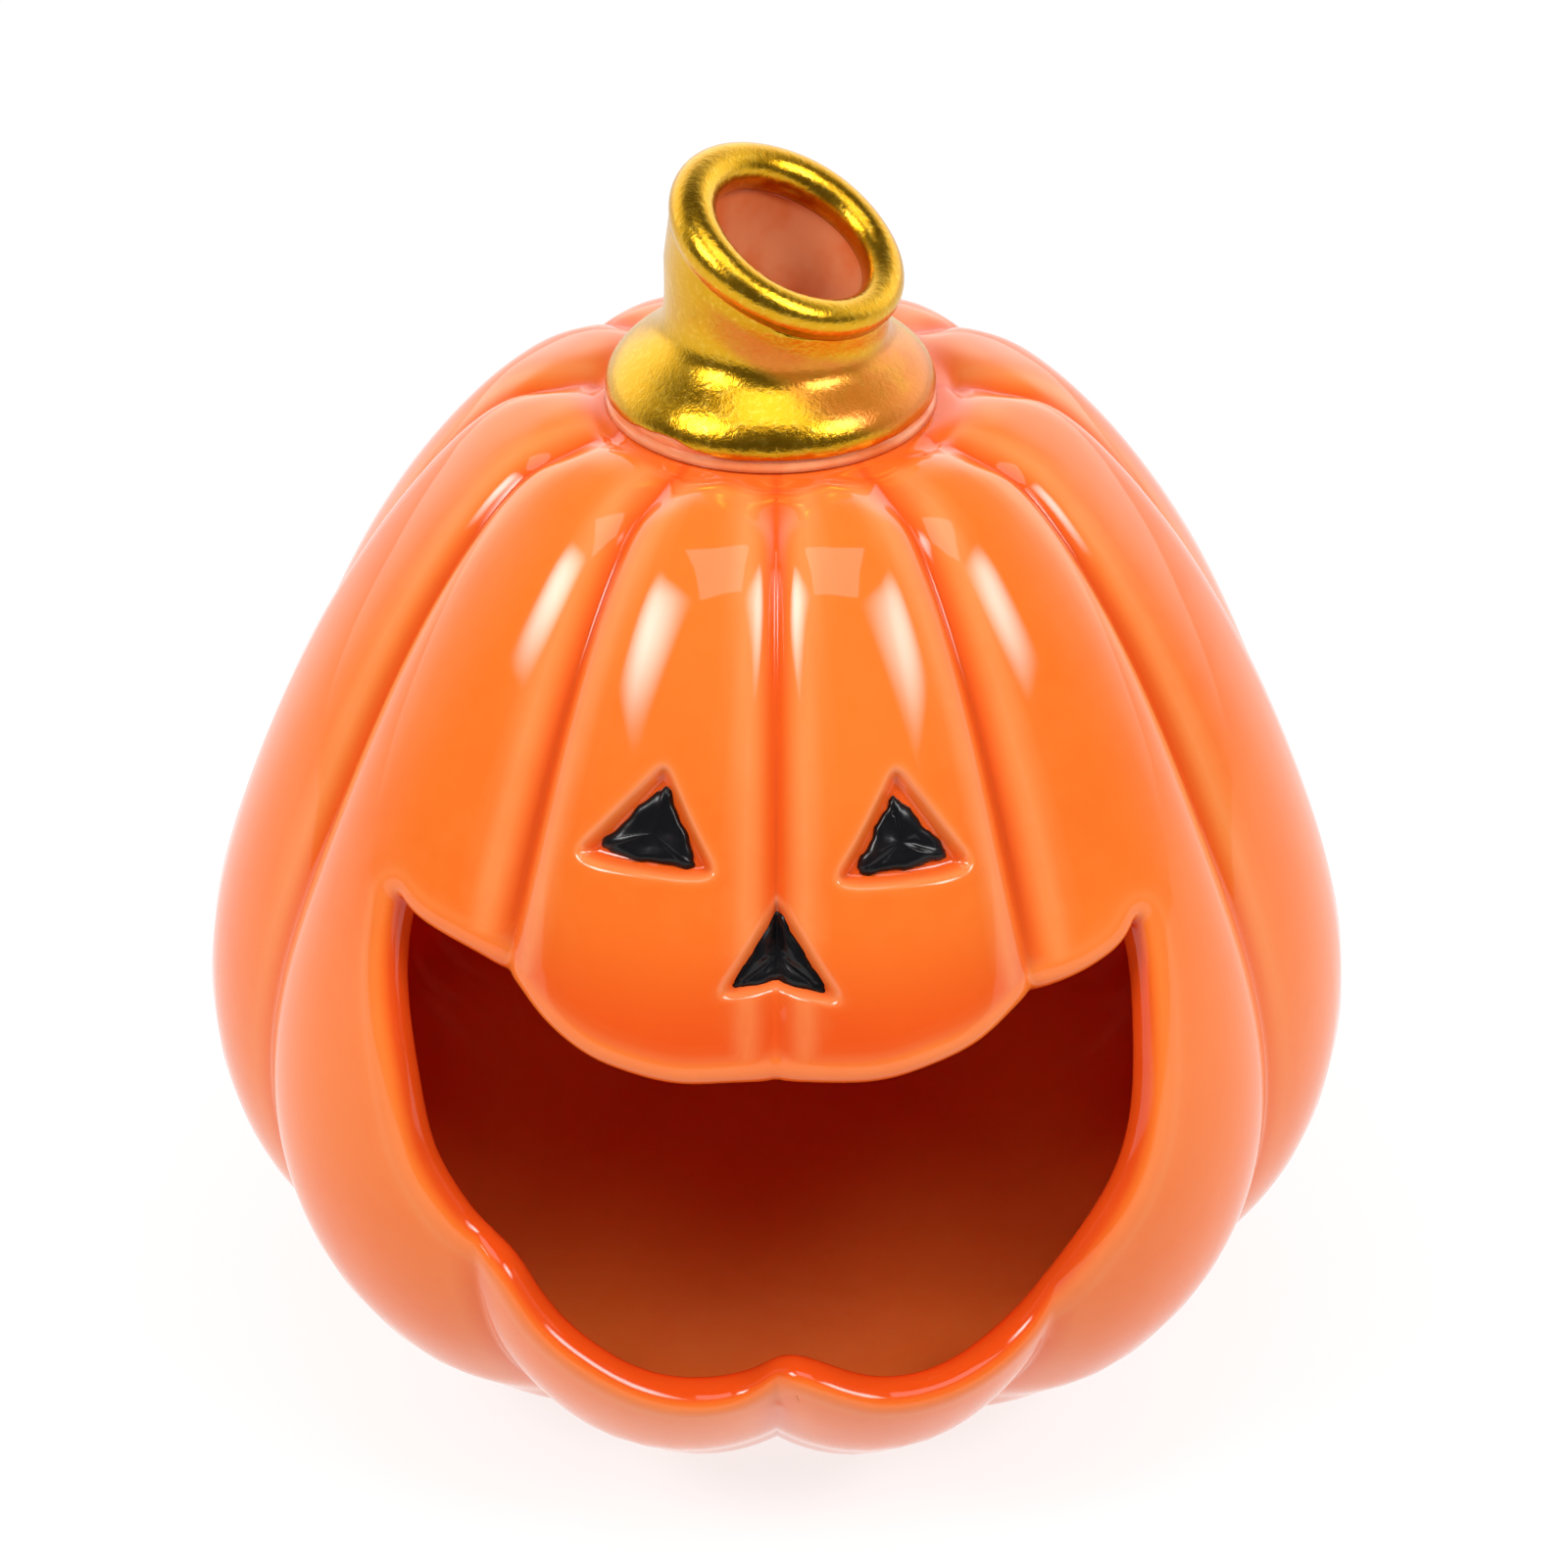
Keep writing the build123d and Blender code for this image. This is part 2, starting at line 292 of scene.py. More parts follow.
class Pattern:
    """Points as (pattern x, place along the wall, depth in the wall), faces, and tints."""

    def __init__(self):
        self.points, self.faces, self.pooled, self.thin_and_painted_light = [], [], [], []

    def add(self, points, depth=0.0, pooled=0.0, thin_and_painted_light=0.0):
        first = len(self.points)
        points = np.asarray(points, float)
        count = len(points)
        deep = np.broadcast_to(depth, count)
        self.points.extend((x, y, d) for (x, y), d in zip(points, deep))
        self.pooled.extend(np.broadcast_to(pooled, count))
        self.thin_and_painted_light.extend(np.broadcast_to(thin_and_painted_light, count))
        return np.arange(first, first + count)

    def bridge(self, inner, outer):
        """Quads between two closed rings with the same number of points."""
        for i in range(len(inner)):
            j = (i + 1) % len(inner)
            self.faces.append((inner[i], inner[j], outer[j], outer[i]))

    def fan(self, ring, middle):
        for i in range(len(ring)):
            self.faces.append((ring[i], ring[(i + 1) % len(ring)], middle))

    def fill(self, free, holes):
        """Triangles over the free points, with each closed ring in holes left open."""
        ids = np.concatenate([free] + holes)
        flat = np.array([self.points[i][:2] for i in ids])
        edges, start = [], len(free)
        for ring in holes:
            count = len(ring)
            edges += [(start + i, start + (i + 1) % count) for i in range(count)]
            start += count
        made = delaunay_2d_cdt([Vector(p) for p in flat], edges, [], 0, 1e-7)
        source = [ids[group[0]] if group else None for group in made[3]]
        triangles = np.array([t for t in made[2] if len(t) == 3])
        corners = np.array([tuple(p) for p in made[0]])
        middle = corners[triangles].mean(axis=1)
        keep = np.ones(len(triangles), bool)
        for ring in holes:
            keep &= ~inside(middle, np.array([self.points[i][:2] for i in ring]))
        for t in triangles[keep]:
            face = [source[k] for k in t]
            if None not in face:
                self.faces.append(tuple(face))


def shifted(points, direction, distance_mm):
    """Points moved over the wall by a length in millimetres, given in the pattern."""
    scale = PATTERN_R / radius_at(points[:, 1])
    moved = points.copy()
    moved[:, 0] += direction[:, 0] * distance_mm * scale
    moved[:, 1] += direction[:, 1] * distance_mm
    return moved


def lip_line():
    """The grin's outermost line in the pattern, evened out, with its small corners eased."""
    flat = []
    for line in LIP_LINES:
        knots = np.array([(radians(a) * PATTERN_R, along_at_height(h)) for a, h in line])
        places = np.concatenate([[0], np.cumsum(np.hypot(*np.diff(knots, axis=0).T))])
        at = np.linspace(0, places[-1], max(8, int(places[-1] / 0.5)))[:-1]
        flat.extend(smooth_curve(places, knots, at))
    return evened(np.array(flat), 0.62, radians(13))


def rounded_triangle(corners, grow, radius, side_points=11, corner_points=9):
    """A triangle moved out by a distance all round, with rounded corners."""
    corners = np.array(corners, float)
    edges = np.roll(corners, -1, 0) - corners
    length = np.hypot(edges[:, 0], edges[:, 1])
    opposite = np.roll(length, -1)
    middle = (corners * opposite[:, None]).sum(0) / opposite.sum()
    area = abs(edges[0, 0] * edges[1, 1] - edges[0, 1] * edges[1, 0]) / 2
    reach = 2 * area / length.sum()
    corners = middle + (corners - middle) * (reach + grow) / reach
    line = []
    for i in range(3):
        here, before, after = corners[i], corners[i - 1], corners[(i + 1) % 3]
        to_before = (before - here) / np.hypot(*(before - here))
        to_after = (after - here) / np.hypot(*(after - here))
        half = np.arccos(np.clip(np.dot(to_before, to_after), -1, 1)) / 2
        cut = radius / np.tan(half)
        a, b = here + to_before * cut, here + to_after * cut
        for t in np.linspace(0, 1, corner_points):
            line.append((1 - t) ** 2 * a + 2 * t * (1 - t) * here + t**2 * b)
        following = corners[(i + 1) % 3]
        to_back = (here - following) / np.hypot(*(here - following))
        to_next = (corners[(i + 2) % 3] - following) / np.hypot(*(corners[(i + 2) % 3] - following))
        next_half = np.arccos(np.clip(np.dot(to_back, to_next), -1, 1)) / 2
        end = following + to_back * radius / np.tan(next_half)
        for t in np.linspace(0, 1, side_points + 2)[1:-1]:
            line.append(b + (end - b) * t)
    return np.array(line)


def on_wall(shape, middle):
    """A small flat shape laid on the wall in the pattern."""
    azimuth, height = middle
    along = along_at_height(height) + shape[:, 1]
    across = radians(azimuth) + shape[:, 0] / radius_at(along)
    return np.column_stack([across * PATTERN_R, along])


# ---- nodes --------------------------------------------------------------------------
class Value:
    """A node socket that can be used in a sum."""

    def __init__(self, tree, socket):
        self.tree, self.socket = tree, socket

    def math(self, operation, *others):
        terms = dict(enumerate((self,) + others))
        node = self.tree.add("ShaderNodeMath", {"operation": operation}, terms)
        return Value(self.tree, node.outputs[0])

    def __add__(self, other): return self.math("ADD", other)
    def __radd__(self, other): return self.math("ADD", other)
    def __sub__(self, other): return self.math("SUBTRACT", other)
    def __rsub__(self, other): return (self * -1).math("ADD", other)
    def __mul__(self, other): return self.math("MULTIPLY", other)
    def __rmul__(self, other): return self.math("MULTIPLY", other)
    def __truediv__(self, other): return self.math("DIVIDE", other)
    def __pow__(self, other): return self.math("POWER", other)
    def low(self, other): return self.math("MINIMUM", other)
    def high(self, other): return self.math("MAXIMUM", other)
    def sine(self): return self.math("SINE")
    def cosine(self): return self.math("COSINE")
    def falloff(self): return (self * self * -1).math("EXPONENT")

    def ramp(self, start, end):
        """0 before start, 1 after end, and smooth between; start may be the larger."""
        node = self.tree.add(
            "ShaderNodeMapRange", {"interpolation_type": "SMOOTHSTEP"},
            {"Value": self, "From Min": start, "From Max": end, "To Min": 0.0, "To Max": 1.0})
        return Value(self.tree, node.outputs["Result"])


class Nodes:
    """A node tree that is filled one node at a time."""

    def __init__(self, tree):
        self.tree = tree

    def add(self, kind, settings=None, values=None):
        node = self.tree.nodes.new(kind)
        for name, value in (settings or {}).items():
            setattr(node, name, value)
        for name, value in (values or {}).items():
            socket = node.inputs[name]
            if isinstance(value, Value):
                self.tree.links.new(value.socket, socket)
            elif isinstance(value, bpy.types.NodeSocket):
                self.tree.links.new(value, socket)
            else:
                socket.default_value = value
        return node

    def value(self, kind, output, settings=None, values=None):
        return Value(self, self.add(kind, settings, values).outputs[output])


def parts_of(nodes, vector):
    """The three parts of a vector."""
    split = nodes.add("ShaderNodeSeparateXYZ", None, {0: vector})
    return [Value(nodes, split.outputs[i]) for i in range(3)]


def shell_tree():
    """The rule that wraps a flat pattern round the axis as a ribbed wall."""
    tree = bpy.data.node_groups.new("wrap_ribbed_wall", "GeometryNodeTree")
    tree.is_modifier = True
    face = tree.interface
    face.new_socket("Pattern", in_out="INPUT", socket_type="NodeSocketGeometry")
    for name, value in (
        ("Shoulder Near Stem", SHOULDER_TOP), ("Shoulder On Belly", SHOULDER_BELLY),
        ("Groove Line Depth", 0.65 * MM), ("Groove Line Width", 0.8 * MM), ("Fork Depth", 1.0 * MM),
        ("Unevenness", 0.3 * MM), ("Unevenness Scale", 34.0), ("Seed", 7.0),
    ):
        face.new_socket(name, in_out="INPUT", socket_type="NodeSocketFloat").default_value = value
    face.new_socket("Finish", in_out="INPUT", socket_type="NodeSocketMaterial")
    face.new_socket("Wall", in_out="OUTPUT", socket_type="NodeSocketGeometry")
    nodes = Nodes(tree)
    given = nodes.add("NodeGroupInput")

    def setting(name):
        return Value(nodes, given.outputs[name])

    def stored(name, kind="FLOAT"):
        return nodes.value(
            "GeometryNodeInputNamedAttribute", "Attribute", {"data_type": kind}, {"Name": name})

    azimuth, depth = stored("azimuth"), stored("depth")
    across, gap = stored("across"), stored("gap")
    groove_out, crest_out, height_out = parts_of(nodes, stored("outside", "FLOAT_VECTOR"))
    groove_in, crest_in, height_in = parts_of(nodes, stored("inside", "FLOAT_VECTOR"))

    # Each rib rises from its groove over a rounded shoulder to a broad crest.
    upper = height_out.ramp(0.045, 0.085)
    belly, near_stem = setting("Shoulder On Belly"), setting("Shoulder Near Stem")
    shoulder = belly + (near_stem - belly) * upper
    rise = 1 - (1 - (across / shoulder).low(1.0)) ** (2.0 - upper * 0.35)
    soft_rise = (across * (pi / 2)).sine() ** 1.6
    line = (gap * groove_out / setting("Groove Line Width")).falloff() * setting("Groove Line Depth")
    line = line * height_out.ramp(0.058, 0.084) * groove_out.ramp(0.0225, 0.026)
    radius_out = groove_out + (crest_out - groove_out) * rise - line
    radius_in = groove_in + (crest_in - groove_in) * soft_rise
    radius = radius_out + (radius_in - radius_out) * depth
    height = height_out + (height_in - height_out) * depth

    # Close to the stem each groove opens like a fork round the rounded ends of the ribs.
    opening = groove_out.ramp(0.0265, 0.0175)
    fork = (gap * groove_out / (opening * 0.0024 + 0.0008)).falloff() * setting("Fork Depth")
    fork = fork * groove_out.ramp(0.028, 0.021) * groove_out.ramp(0.0166, 0.0178)
    fork = fork * height_out.ramp(0.06, 0.09)
    height = height - fork * (1 - depth)

    place = nodes.value("ShaderNodeCombineXYZ", 0, None, {
        0: radius * azimuth.sine(), 1: radius * azimuth.cosine() * -1, 2: height})

    # The hand-finished clay is a little uneven, more so on the belly than at the ends.
    waves = nodes.value("ShaderNodeTexNoise", 0, {"noise_dimensions": "4D"}, {
        "Vector": place, "W": setting("Seed"), "Scale": setting("Unevenness Scale"),
        "Detail": 1.0, "Roughness": 0.4})
    swell = (waves - 0.5) * setting("Unevenness")
    swell = swell * height_out.ramp(0.004, 0.03) * height_out.ramp(0.106, 0.09)
    radius = radius + swell
    place = nodes.value("ShaderNodeCombineXYZ", 0, None, {
        0: radius * azimuth.sine(), 1: radius * azimuth.cosine() * -1, 2: height})

    moved = nodes.value("GeometryNodeSetPosition", 0, None, {
        "Geometry": given.outputs["Pattern"], "Position": place})
    joined = nodes.value("GeometryNodeMergeByDistance", 0, None, {"Geometry": moved, "Distance": 0.004 * MM})
    smooth = nodes.value("GeometryNodeSetShadeSmooth", 0, None, {"Geometry": joined})
    real = nodes.value("GeometryNodeRealizeInstances", 0, None, {"Geometry": smooth})
    done = nodes.value("GeometryNodeSetMaterial", 0, None, {"Geometry": real, "Material": setting("Finish")})
    nodes.add("NodeGroupOutput", None, {"Wall": done})
    return tree


def wrap(name, pattern, tree, finish):
    """A pattern made into a piece by the tree, as a plain mesh at the origin."""
    points = np.array(pattern.points, float)
    azimuth = points[:, 0] / PATTERN_R
    shape = wall_at(points[:, 1]) * MM
    across, gap = rib_place(azimuth)
    mesh = bpy.data.meshes.new(name + "_pattern")
    mesh.from_pydata((points * MM).tolist(), [], [tuple(int(i) for i in f) for f in pattern.faces])
    stored = {"azimuth": azimuth, "depth": points[:, 2], "across": across, "gap": gap,
              "pooled": np.array(pattern.pooled), "thin_and_painted_light": np.array(pattern.thin_and_painted_light)}
    for key, values in stored.items():
        mesh.attributes.new(key, "FLOAT", "POINT").data.foreach_set("value", values.astype(np.float32))
    for key, columns in (("outside", shape[:, :3]), ("inside", shape[:, 3:])):
        data = mesh.attributes.new(key, "FLOAT_VECTOR", "POINT").data
        data.foreach_set("vector", columns.astype(np.float32).ravel())
    piece = bpy.data.objects.new(name, mesh)
    bpy.context.scene.collection.objects.link(piece)
    grow = piece.modifiers.new("wrap", "NODES")
    grow.node_group = tree
    for item in tree.interface.items_tree:
        if item.item_type == "SOCKET" and item.in_out == "INPUT" and item.name == "Finish":
            grow[item.identifier] = finish
    graph = bpy.context.evaluated_depsgraph_get()
    made = bpy.data.meshes.new_from_object(piece.evaluated_get(graph))
    piece.modifiers.clear()
    piece.data = made
    bpy.data.meshes.remove(mesh)
    for key in ("azimuth", "depth", "across", "gap", "outside", "inside"):
        if key in made.attributes:
            made.attributes.remove(made.attributes[key])
    face_outwards(made)
    made.name = name
    return piece


def face_outwards(mesh):
    """Drops slivers, closes any pinhole and turns every face outwards."""
    work = bmesh.new()
    work.from_mesh(mesh)
    bmesh.ops.dissolve_degenerate(work, dist=0.002 * MM, edges=work.edges)
    bmesh.ops.holes_fill(work, edges=[edge for edge in work.edges if edge.is_boundary], sides=0)
    bmesh.ops.recalc_face_normals(work, faces=work.faces)
    if work.calc_volume(signed=True) < 0:
        bmesh.ops.reverse_faces(work, faces=work.faces)
    for face in work.faces:
        face.smooth = True
    work.to_mesh(mesh)
    work.free()


# ---- the body's pattern -------------------------------------------------------------
def grid(columns, rows):
    x, y = np.meshgrid(columns, rows)
    return np.column_stack([x.ravel(), y.ravel()])


def columns_of(shares):
    """Pattern x of each column: close together at the grooves, apart on the crests."""
    result = []
    for start, end in zip(GROOVES, GROOVES[1:]):
        middle, half = (start + end) / 2, (end - start) / 2
        result += [start + half * share for share in shares[:-1]] + [middle]
        result += [end - half * share for share in reversed(shares[:-1]) if share > 0]
    return np.radians(np.array(result + [180.0])) * PATTERN_R


def groove_tints(points):
    """Glaze pools in the grooves and thins on the shoulders beside them. Also painted: shade on a band round
    the upper lip, and a reflection of the gold on the rib ends by the stem.
    """
    along = points[:, 1]
    across, gap = rib_place(points[:, 0] / PATTERN_R)
    length = gap * radius_at(along)
    height = wall_at(along)[:, 2]
    upper = ease(height, 40, 80)
    pooled = np.exp(-((length / (1.0 + 0.8 * (1 - upper))) ** 2)) * (0.35 + 0.65 * upper)
    thin_and_painted_light = np.exp(-(((length - 2.7) / 1.2) ** 2)) * (0.2 + 0.8 * upper)
    radius = wall_at(along)[:, 0]
    top = height > 104
    moat = np.where(top, ease(radius, 19.0, 17.2), 0)
    fork = np.where(top, np.exp(-((length / (1.0 + 2.2 * ease(radius, 26, 18))) ** 2)), 0)
    # The rib ends by the stem are painted paler: a painted reflection of the gold.
    rib_end_painted_reflection = np.where(top, np.exp(-(((radius - 19.6) / 1.1) ** 2)), 0) * (1 - fork)
    turned = np.abs(points[:, 0] / PATTERN_R)
    # A band round the upper lip of the grin is painted darker: painted shade.
    face = ease(height, 79, 66) * ease(height, 58, 64) * ease(turned, radians(33), radians(27))
    pooled = np.maximum(np.maximum(pooled, face * 1.1), np.maximum(moat, fork) * 0.6)
    return pooled, np.maximum(thin_and_painted_light * (1 - moat), rib_end_painted_reflection * 0.5)


def body_pattern():
    pattern = Pattern()
    lip = lip_line()
    away = outward(lip, 7)

    # Round the rim, from the outside of the wall over the lip to the inside.
    rim = []
    for turn in np.linspace(0, pi, 15):
        back = LIP_HALF * (1 - abs(sin(turn)) ** 0.85)
        depth = (1 - np.sign(cos(turn)) * abs(cos(turn)) ** 0.85) / 2
        line = shifted(lip, away, back)
        # Over the rim and on the inside the glaze is painted deeper and redder: painted shade. The pale line
        # on the rim's outer edge is a painted highlight.
        rim_painted_shade = ease(depth, 0.04, 0.3) * RIM_PAINTED_SHADE + ease(depth, 0.6, 1.0) * (INSIDE_PAINTED_SHADE - RIM_PAINTED_SHADE)
        rim.append(pattern.add(line, depth, rim_painted_shade, 0.3 * float(np.exp(-((depth - 0.02) / 0.05) ** 2))))
    apron = []
    for back in (2.7, 3.4, 4.4):
        line = shifted(lip, away, back)
        pooled, thin_and_painted_light = groove_tints(line)
        # A pale band just outside the rim is a painted highlight.
        edge = 0.5 * float(np.exp(-((back - 2.4) / 0.8) ** 2))
        apron.append(pattern.add(line, 0.0, pooled, np.maximum(thin_and_painted_light, edge)))
    for inner, outer in zip([rim[0]] + apron[:-1], apron):
        pattern.bridge(inner, outer)
    for inner, outer in zip(rim, rim[1:]):
        pattern.bridge(inner, outer)
    sleeve = pattern.add(shifted(lip, away, 3.6), 1.0, INSIDE_PAINTED_SHADE)
    pattern.bridge(rim[-1], sleeve)

    # The pressed triangles, from the wall down to a floor.
    pockets = []
    for feature in EYES_AND_NOSE.values():
        rings = []
        for grow in POCKET_RINGS:
            shape = rounded_triangle(feature["pocket"], grow, float(np.clip(0.55 + grow, 0.35, 2.2)))
            line = on_wall(shape, feature["middle"])
            sunk = 1 - ease(grow, -0.5, 0.85)
            pooled, thin_and_painted_light = groove_tints(line)
            # A pale line round each pocket's edge is a painted highlight.
            edge = float(np.exp(-((grow - 0.55) / 0.4) ** 2))
            rings.append(pattern.add(
                line, sunk * PRESS / WALL_THICKNESS,
                np.maximum(pooled * (1 - sunk), sunk * 0.9), np.maximum(thin_and_painted_light * (1 - sunk), 0.9 * edge)))
        for outer, inner in zip(rings, rings[1:]):
            pattern.bridge(inner, outer)
        middle = np.mean([pattern.points[i][:2] for i in rings[-1]], axis=0)
        centre = pattern.add([middle], PRESS / WALL_THICKNESS, 0.9)
        pattern.fan(rings[-1], centre[0])
        pockets.append(rings[0])

    def flat(ring):
        return np.array([pattern.points[i][:2] for i in ring])

    def clear_of(points, rings, room):
        keep = np.ones(len(points), bool)
        for ring in rings:
            line = flat(ring)
            keep &= ~inside(points, line) & (distance(points, line) > room)
        return points[keep]

    # The outside of the wall.
    shares = [0, 0.03, 0.065, 0.11, 0.165, 0.235, 0.32, 0.43, 0.57, 0.76, 1.0]
    base_rows = [0.0, 7.0, 14.0, 20.0, 25.0, 28.0]
    side_rows = list(np.arange(29.6, WALL_LENGTH - 22, 1.35))
    top_rows = list(np.linspace(WALL_LENGTH - 21.5, WALL_LENGTH, 30))
    points = clear_of(grid(columns_of(shares), base_rows + side_rows + top_rows), [apron[-1]] + pockets, 0.55)
    pooled, thin_and_painted_light = groove_tints(points)
    free = pattern.add(points, 0.0, pooled, thin_and_painted_light)
    pattern.fill(free, [apron[-1]] + pockets)

    # The inside of the wall, with the vent's edge joining the two.
    coarse = [0, 0.1, 0.22, 0.36, 0.55, 0.78, 1.0]
    rows = [0.0, 9.0, 18.0, 24.0] + list(np.arange(27.0, WALL_LENGTH - 12, 2.2))
    rows += list(np.linspace(WALL_LENGTH - 10, WALL_LENGTH - 1.5, 4))
    points = clear_of(grid(columns_of(coarse), rows), [sleeve], 0.8)
    vent = grid(columns_of(shares), [WALL_LENGTH])
    inner = np.vstack([points, vent])
    # Low down the inside is painted paler and less red: a painted pool of light on the floor.
    low = ease(wall_at(inner[:, 1])[:, 2], 24, 8)
    free = pattern.add(inner, 1.0, INSIDE_PAINTED_SHADE * (1 - low), low * 0.3)
    pattern.fill(free, [sleeve])
    edge_out = pattern.add(vent, 0.0, 0.5)
    edge_in = pattern.add(vent, 1.0, INSIDE_PAINTED_SHADE)
    for i in range(len(vent) - 1):
        pattern.faces.append((edge_out[i], edge_out[i + 1], edge_in[i + 1], edge_in[i]))
    return pattern


def paint_pattern(feature):
    """A pool of enamel on the pocket's floor, with a hand-painted edge."""
    pattern = Pattern()
    waves, phase = feature["sway"]
    floor = PRESS / WALL_THICKNESS
    rings = []
    for grow, thick in PAINT_RINGS:
        shape = rounded_triangle(feature["paint"], grow, float(np.clip(0.75 + grow * 0.5, 0.3, 1.0)))
        turn = np.linspace(0, 2 * pi, len(shape), endpoint=False)
        wobble = 0.13 * np.sin(waves * 2 * turn + phase) + 0.06 * np.sin(waves * 5 * turn + 2 * phase)
        shape = shape + outward(shape, 2) * wobble[:, None]
        uneven = 1 + 0.25 * np.sin(3 * turn + phase) * ease(-grow, 0.2, 1.0)
        depth = floor - thick * uneven / WALL_THICKNESS
        rings.append(pattern.add(on_wall(shape, feature["middle"]), depth))
    for outer, inner in zip(rings, rings[1:]):
        pattern.bridge(inner, outer)
    middle = np.mean([pattern.points[i][:2] for i in rings[-1]], axis=0)
    top = pattern.add([middle], floor - PAINT_MIDDLE / WALL_THICKNESS)
    pattern.fan(rings[-1], top[0])
    under = pattern.add([middle], floor + PAINT_UNDER / WALL_THICKNESS)
    pattern.fan(rings[0][::-1], under[0])
    return pattern


# ---- the stem's mesh ----------------------------------------------------------------
# The angle round the stem runs from its right end over its back.
def lip_tube(turn):
    """Radius of the rolled lip, which is thicker on the left and at the back."""
    return 2.16 - 0.15 * np.cos(turn) + 0.1 * np.sin(turn) + 0.03 * np.sin(5 * turn + 1)


def skirt_and_neck(place, turn, inset):
    """A point of the skirt or neck at a place among the rings of STEM."""
    ends = smooth_curve(range(len(STEM)), np.array(STEM).reshape(-1, 4), place)
    middle = (ends[:, :2] + ends[:, 2:]) / 2
    half = (ends[:, 2:] - ends[:, :2]) / 2
    reach = np.hypot(half[:, 0], half[:, 1])
    half *= ((reach - inset) / reach)[:, None]
    wobble = 1 + 0.004 * np.sin(3 * turn + 2) + 0.003 * np.sin(5 * turn)
    return np.column_stack([
        middle[:, 0] + half[:, 0] * np.cos(turn) * wobble,
        (reach - inset) * np.sin(turn) * wobble,
        middle[:, 1] + half[:, 1] * np.cos(turn)])


def lip_point(around, turn, inset):
    """A point of the rolled lip, at an angle round its tube."""
    axis = LIP_AXIS / np.linalg.norm(LIP_AXIS)
    across = np.cross((0, 1, 0), axis)
    across /= np.linalg.norm(across)
    behind = np.cross(axis, across)
    tube = lip_tube(turn) - inset
    reach = LIP_RING + tube * cos(around)
    return (LIP_MIDDLE + np.outer(reach * np.cos(turn), across) + np.outer(reach * np.sin(turn), behind)
            + np.outer(tube * sin(around), axis))


def stem_skin(edge, inset):
    """Rings from an edge on the skirt, up the neck and over the lip into the bore."""
    turn = STEM_TURN
    top = len(STEM) - 1
    rings = []
    for share in np.linspace(0, 1, 44) ** 1.15:
        rings.append(skirt_and_neck(edge + (top - edge) * share, turn, inset))
    lip = [lip_point(radians(around), turn, inset) for around in np.linspace(LIP_START, LIP_END, 34)]
    # The neck runs on into the groove under the lip.
    neck_top = rings[-1]
    for share in (0.3, 0.6, 0.85):
        pull = ease(share, 0, 1) * 0.5 + share * 0.5
        rings.append(neck_top * (1 - pull) + lip[0] * pull)
    return rings + lip


def skin_piece(name, rings, finish):
    """A closed mesh through rings of points, the last ring joined to the first."""
    verts = np.concatenate(rings) * MM
    turns, count = len(rings[0]), len(rings)
    faces = [(k * turns + i, k * turns + (i + 1) % turns, (k + 1) % count * turns + (i + 1) % turns,
              (k + 1) % count * turns + i) for k in range(count) for i in range(turns)]
    mesh = bpy.data.meshes.new(name)
    mesh.from_pydata(verts.tolist(), [], faces)
    mesh.materials.append(finish)
    face_outwards(mesh)
    piece = bpy.data.objects.new(name, mesh)
    bpy.context.scene.collection.objects.link(piece)
    return piece


def gold_piece(finish):
    """The gold, with a brushed edge that stops a little short at the front left."""
    turn = STEM_TURN
    edge = 0.12 + 1.0 * np.exp(-(((turn - radians(228)) / radians(27)) ** 2))
    edge += 0.25 * np.sin(4 * turn + 1) ** 2
    edge += 0.07 * np.sin(11 * turn) + 0.05 * np.sin(23 * turn + 1) + 0.03 * np.sin(41 * turn)
    outer = stem_skin(edge, 0.0)
    return skin_piece("stem_gold", outer + stem_skin(edge, 0.24)[::-1], finish)


def stem_piece(finish):
    """The ceramic under the gold, with the open bore down to the vent."""
    turn = STEM_TURN
    outer = stem_skin(np.zeros(STEM_COLUMNS), 0.27)
    foot = [np.column_stack([r * np.cos(turn) - 0.6 * lean, r * np.sin(turn), np.full(STEM_COLUMNS, z)])
            for r, z, lean in STEM_FOOT]
    bore = []
    for share in np.linspace(0.06, 0.94, 16):
        bore.append(outer[-1] * (1 - share) + foot[0] * share)
    return skin_piece("stem_ceramic", foot[1:] + outer + bore + foot[:1], finish)


# ---- finishes -----------------------------------------------------------------------
def finish_tree(name):
    material = bpy.data.materials.new(name)
    material.use_nodes = True
    material.node_tree.nodes.clear()
    return material, Nodes(material.node_tree)


def surface(material, nodes, values):
    """The material with one shader, which takes the values given."""
    shader = nodes.add("ShaderNodeBsdfPrincipled", None, values)
    nodes.add("ShaderNodeOutputMaterial", None, {"Surface": shader.outputs[0]})
    return material


def bumped(nodes, strength, distance, height):
    bump = nodes.add("ShaderNodeBump", None, {"Strength": strength, "Distance": distance, "Height": height})
    return bump.outputs[0]


def blend(nodes, share, first, second):
    """One colour going over to another."""
    node = nodes.add("ShaderNodeMix", {"data_type": "RGBA", "clamp_factor": True}, {"Factor": share})
    for slot, colour in ((6, first), (7, second)):
        if isinstance(colour, tuple):
            node.inputs[slot].default_value = colour
        else:
            nodes.tree.links.new(colour, node.inputs[slot])
    return node.outputs[2]


def noise(nodes, place, scale, detail=2.0, roughness=0.5):
    return nodes.value("ShaderNodeTexNoise", 0, None, {
        "Vector": place, "Scale": scale, "Detail": detail, "Roughness": roughness})


